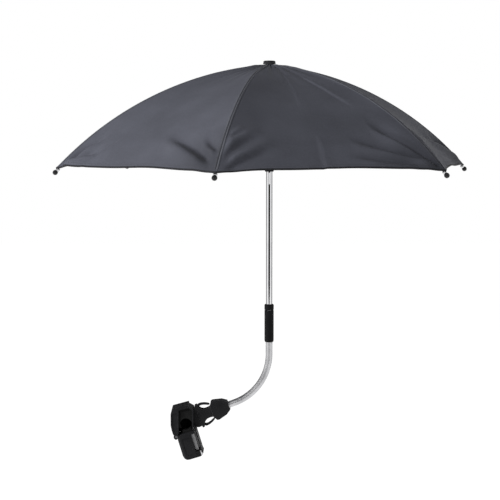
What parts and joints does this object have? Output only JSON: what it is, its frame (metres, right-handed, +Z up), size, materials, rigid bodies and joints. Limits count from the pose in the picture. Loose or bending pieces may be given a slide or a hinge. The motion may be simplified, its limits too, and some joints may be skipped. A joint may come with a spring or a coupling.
{
  "type": "pram parasol",
  "caption": "Folding pram parasol: domed dark fabric canopy on wire ribs, chrome shaft, flexible neck, side-release buckle and hinged tube clamp.",
  "frame": {"origin": "axis of the clamped tube at the middle of the clamp's depth", "axes": "+Z up along the shaft, +X from the clamp toward the shaft, +Y along the clamped tube, away from the pictured side"},
  "size_m": [0.6668, 0.6774, 0.6442],
  "materials": {
    "black_plastic": "satin black moulded plastic",
    "rubber": "soft black rubber",
    "neck_steel": "wound steel strip",
    "steel": "plain bright steel",
    "chrome": "polished chrome tube",
    "rib_steel": "nickel plated wire",
    "cover_fabric": "tight charcoal polyester weave"
  },
  "bodies": {
    "clamp": {"saddle": "black_plastic", "saddle_screws": "steel", "buckle_base": "black_plastic", "saddle_pad": "rubber", "jaw_pin": "steel"},
    "jaw": {"clamp_jaw": "black_plastic", "jaw_pad": "rubber", "jaw_plate": "steel", "latch_pin": "steel"},
    "latch": {"clamp_latch": "black_plastic"},
    "prong_upper": {"release_prong_upper": "black_plastic"},
    "prong_lower": {"release_prong_lower": "black_plastic"},
    "housing": {"buckle_housing": "black_plastic", "neck_lower": "neck_steel"},
    "neck": {"neck_middle": "neck_steel"},
    "stem": {"neck_upper": "neck_steel", "coupling_sleeve": "black_plastic", "sleeve_collar": "black_plastic", "shaft": "chrome", "crown": "black_plastic", "crown_wire": "steel", "top_cap": "black_plastic"},
    "catch": {"catch_spring": "steel"},
    "runner": {"runner": "black_plastic", "runner_wire": "steel"},
    "rib_1": {"rib_1": "rib_steel", "rib_clip_1": "rib_steel", "rib_tip_1": "black_plastic", "canopy_1": "cover_fabric"},
    "stretcher_1": {"stretcher_1": "rib_steel"},
    "rib_2": {"rib_2": "rib_steel", "rib_clip_2": "rib_steel", "rib_tip_2": "black_plastic", "canopy_2": "cover_fabric"},
    "stretcher_2": {"stretcher_2": "rib_steel"},
    "rib_3": {"rib_3": "rib_steel", "rib_clip_3": "rib_steel", "rib_tip_3": "black_plastic", "canopy_3": "cover_fabric"},
    "stretcher_3": {"stretcher_3": "rib_steel"},
    "rib_4": {"rib_4": "rib_steel", "rib_clip_4": "rib_steel", "rib_tip_4": "black_plastic", "canopy_4": "cover_fabric"},
    "stretcher_4": {"stretcher_4": "rib_steel"},
    "rib_5": {"rib_5": "rib_steel", "rib_clip_5": "rib_steel", "rib_tip_5": "black_plastic", "canopy_5": "cover_fabric"},
    "stretcher_5": {"stretcher_5": "rib_steel"},
    "rib_6": {"rib_6": "rib_steel", "rib_clip_6": "rib_steel", "rib_tip_6": "black_plastic", "canopy_6": "cover_fabric"},
    "stretcher_6": {"stretcher_6": "rib_steel"}
  },
  "joints": [
    {"name": "unclip", "type": "slide", "parent": "clamp", "child": "housing", "axis": [0.9354, 0, 0.3535], "range_m": [0, 0.045], "deforming": ["release_prong_upper", "release_prong_lower"]},
    {"name": "release_upper", "type": "hinge", "parent": "clamp", "child": "prong_upper", "pos_m": [0.01359, 0, 0.0212], "axis": [0, 1, 0], "range_deg": [0, 12], "stiffness_Nm_per_rad": 0.01},
    {"name": "release_lower", "type": "hinge", "parent": "clamp", "child": "prong_lower", "pos_m": [0.02208, 0, -0.00125], "axis": [0, -1, 0], "range_deg": [0, 12], "stiffness_Nm_per_rad": 0.01},
    {"name": "jaw_open", "type": "hinge", "parent": "clamp", "child": "jaw", "pos_m": [-0.0156, 0, -0.0206], "axis": [0, 1, 0], "range_deg": [0, 85], "deforming": ["clamp_latch"]},
    {"name": "latch_pull", "type": "hinge", "parent": "jaw", "child": "latch", "pos_m": [0.02572, 0, -0.04651], "axis": [0, 1, 0], "range_deg": [0, 8], "stiffness_Nm_per_rad": 0.05},
    {"name": "neck_bend", "type": "hinge", "parent": "housing", "child": "neck", "pos_m": [0.10842, 0, 0.05125], "axis": [0, 1, 0], "range_deg": [-40, 30]},
    {"name": "neck_sway", "type": "hinge", "parent": "neck", "child": "stem", "pos_m": [0.13214, 0, 0.09113], "axis": [1, 0, 0], "range_deg": [-40, 40]},
    {"name": "catch_press", "type": "hinge", "parent": "stem", "child": "catch", "pos_m": [0.135, -0.0032, 0.37299], "axis": [-1, 0, 0], "range_deg": [0, 5], "stiffness_Nm_per_rad": 0.02},
    {"name": "canopy_fold", "type": "hinge", "parent": "stem", "child": "rib_1", "pos_m": [0.13281, -0.00924, 0.57599], "axis": [0.9732, -0.23, 0], "range_deg": [0, 62.91], "deforming": ["canopy_1", "canopy_2", "canopy_3", "canopy_4", "canopy_5", "canopy_6", "catch_spring"]},
    {"name": "stretcher_1_turn", "type": "hinge", "parent": "rib_1", "child": "stretcher_1", "pos_m": [0.09972, -0.14921, 0.53638], "axis": [0.9732, -0.23, 0], "range_deg": [-125.81, 0]},
    {"name": "runner_ride", "type": "hinge", "parent": "stretcher_1", "child": "runner", "pos_m": [0.13281, -0.00924, 0.49677], "axis": [0.9732, -0.23, 0], "range_deg": [0, 62.91]},
    {"name": "rib_2_fold", "type": "hinge", "parent": "stem", "child": "rib_2", "pos_m": [0.14191, -0.00651, 0.57599], "axis": [0.6858, 0.7278, 0], "range_deg": [0, 62.91]},
    {"name": "stretcher_2_turn", "type": "hinge", "parent": "rib_2", "child": "stretcher_2", "pos_m": [0.24658, -0.10515, 0.53638], "axis": [0.6858, 0.7278, 0], "range_deg": [-125.81, 0]},
    {"name": "rib_3_fold", "type": "hinge", "parent": "stem", "child": "rib_3", "pos_m": [0.1441, 0.00273, 0.57599], "axis": [-0.2874, 0.9578, 0], "range_deg": [0, 62.91]},
    {"name": "stretcher_3_turn", "type": "hinge", "parent": "rib_3", "child": "stretcher_3", "pos_m": [0.28185, 0.04406, 0.53638], "axis": [-0.2874, 0.9578, 0], "range_deg": [-125.81, 0]},
    {"name": "rib_4_fold", "type": "hinge", "parent": "stem", "child": "rib_4", "pos_m": [0.13718, 0.00924, 0.57599], "axis": [-0.9732, 0.23, 0], "range_deg": [0, 62.91]},
    {"name": "stretcher_4_turn", "type": "hinge", "parent": "rib_4", "child": "stretcher_4", "pos_m": [0.17027, 0.14921, 0.53638], "axis": [-0.9732, 0.23, 0], "range_deg": [-125.81, 0]},
    {"name": "rib_5_fold", "type": "hinge", "parent": "stem", "child": "rib_5", "pos_m": [0.12808, 0.00651, 0.57599], "axis": [-0.6858, -0.7278, 0], "range_deg": [0, 62.91]},
    {"name": "stretcher_5_turn", "type": "hinge", "parent": "rib_5", "child": "stretcher_5", "pos_m": [0.02341, 0.10515, 0.53638], "axis": [-0.6858, -0.7278, 0], "range_deg": [-125.81, 0]},
    {"name": "rib_6_fold", "type": "hinge", "parent": "stem", "child": "rib_6", "pos_m": [0.1259, -0.00273, 0.57599], "axis": [0.2874, -0.9578, 0], "range_deg": [0, 62.91]},
    {"name": "stretcher_6_turn", "type": "hinge", "parent": "rib_6", "child": "stretcher_6", "pos_m": [-0.01186, -0.04406, 0.53638], "axis": [0.2874, -0.9578, 0], "range_deg": [-125.81, 0]}
  ],
  "couplings": [
    {"joint": "stretcher_1_turn", "follows": "canopy_fold", "ratio": -2},
    {"joint": "runner_ride", "follows": "canopy_fold", "ratio": 1},
    {"joint": "rib_2_fold", "follows": "canopy_fold", "ratio": 1},
    {"joint": "stretcher_2_turn", "follows": "canopy_fold", "ratio": -2},
    {"joint": "rib_3_fold", "follows": "canopy_fold", "ratio": 1},
    {"joint": "stretcher_3_turn", "follows": "canopy_fold", "ratio": -2},
    {"joint": "rib_4_fold", "follows": "canopy_fold", "ratio": 1},
    {"joint": "stretcher_4_turn", "follows": "canopy_fold", "ratio": -2},
    {"joint": "rib_5_fold", "follows": "canopy_fold", "ratio": 1},
    {"joint": "stretcher_5_turn", "follows": "canopy_fold", "ratio": -2},
    {"joint": "rib_6_fold", "follows": "canopy_fold", "ratio": 1},
    {"joint": "stretcher_6_turn", "follows": "canopy_fold", "ratio": -2}
  ]
}
